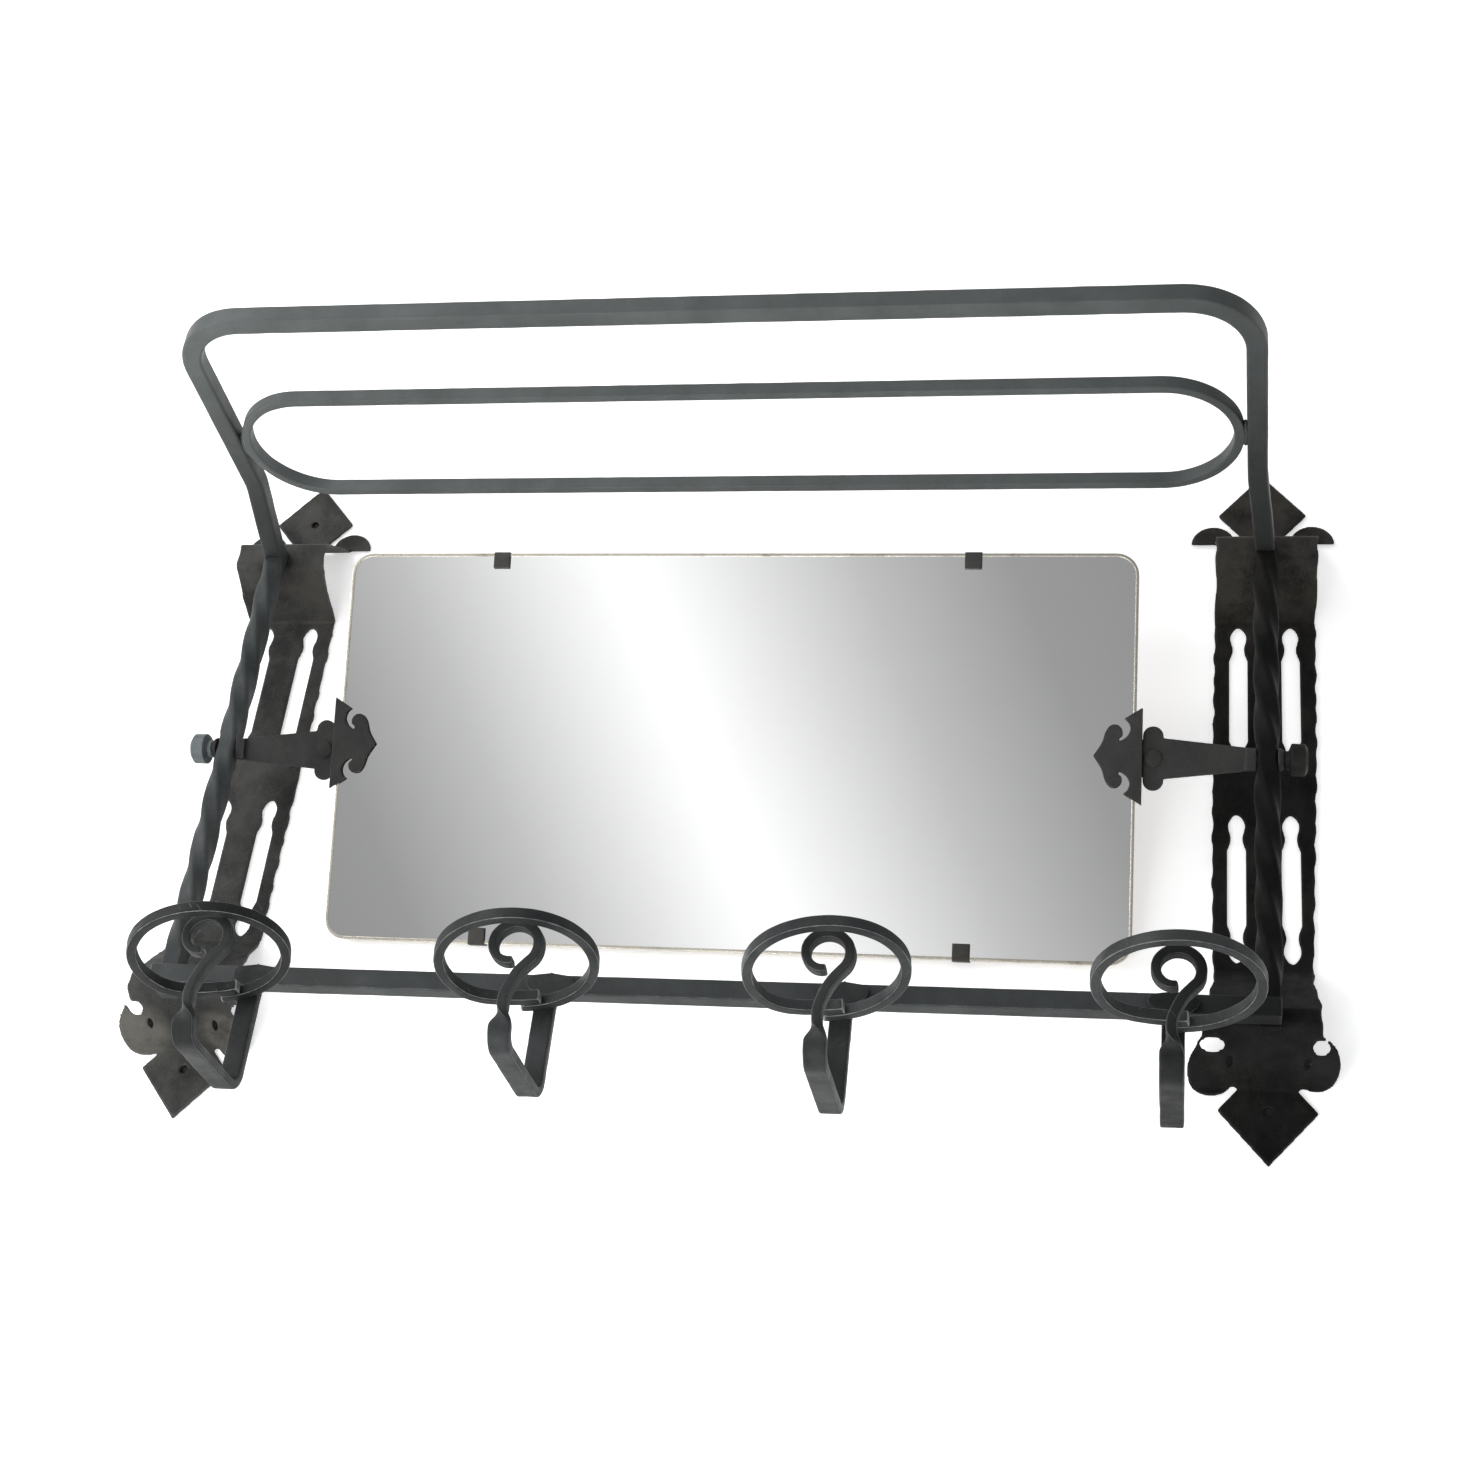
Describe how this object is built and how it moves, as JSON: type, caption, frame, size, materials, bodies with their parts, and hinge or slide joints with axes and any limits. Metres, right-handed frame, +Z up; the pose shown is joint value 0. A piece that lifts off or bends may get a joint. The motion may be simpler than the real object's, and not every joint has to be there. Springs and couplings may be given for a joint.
{
  "type": "wall mirror with hat shelf and coat hooks",
  "caption": "Wrought-iron wall rack with a tilting mirror between twisted posts, an open hat shelf above and scrolled coat hooks with umbrella rings below.",
  "frame": {"origin": "middle of the four wall screws, on the wall", "axes": "+X to the viewer's right along the wall, +Y into the wall, +Z up; the rack stands out from the wall towards -Y"},
  "size_m": [0.979, 0.366, 0.6415],
  "materials": {
    "plate_iron": "hammered and blackened, burnished brown on the raised places",
    "post_iron": "blackened square bar, worn bright on the twisted edges",
    "shelf_iron": "satin grey bare iron",
    "bar_iron": "satin dark grey iron",
    "hook_iron": "satin dark iron with worn edges",
    "pivot_iron": "satin dark iron",
    "clip_steel": "dull dark steel",
    "mirror": "silvered glass",
    "backing_board": "raw hardboard",
    "rim_metal": "aged pale metal"
  },
  "bodies": {
    "frame": {"left_wall_plate": "plate_iron", "right_wall_plate": "plate_iron", "left_post": "post_iron", "right_post": "post_iron", "hat_rail": "shelf_iron", "hat_oval": "shelf_iron", "lower_bar": "bar_iron", "ring_1": "hook_iron", "ring_2": "hook_iron", "ring_3": "hook_iron", "ring_4": "hook_iron", "hook_1": "hook_iron", "hook_2": "hook_iron", "hook_3": "hook_iron", "hook_4": "hook_iron", "left_collar": "pivot_iron", "right_collar": "pivot_iron"},
    "mirror": {"mirror_glass": "mirror", "mirror_backing": "backing_board", "mirror_rim": "rim_metal", "clip_top_left": "clip_steel", "clip_top_right": "clip_steel", "clip_bottom_left": "clip_steel", "clip_bottom_right": "clip_steel", "left_clasp": "pivot_iron", "right_clasp": "pivot_iron", "left_arm": "pivot_iron", "right_arm": "pivot_iron", "left_arm_rivet": "pivot_iron", "right_arm_rivet": "pivot_iron"},
    "left_knob_body": {"left_knob": "pivot_iron"},
    "right_knob_body": {"right_knob": "pivot_iron"}
  },
  "joints": [
    {"name": "mirror_tilt", "type": "hinge", "parent": "frame", "child": "mirror", "pos_m": [0, -0.064, -0.006], "axis": [1, 0, 0], "range_deg": [-40, 0.5]},
    {"name": "left_knob_turn", "type": "hinge", "parent": "mirror", "child": "left_knob_body", "pos_m": [-0.452, -0.064, -0.006], "axis": [1, 0, 0], "range_deg": [-180, 180]},
    {"name": "right_knob_turn", "type": "hinge", "parent": "mirror", "child": "right_knob_body", "pos_m": [0.452, -0.064, -0.006], "axis": [1, 0, 0], "range_deg": [-180, 180]}
  ]
}
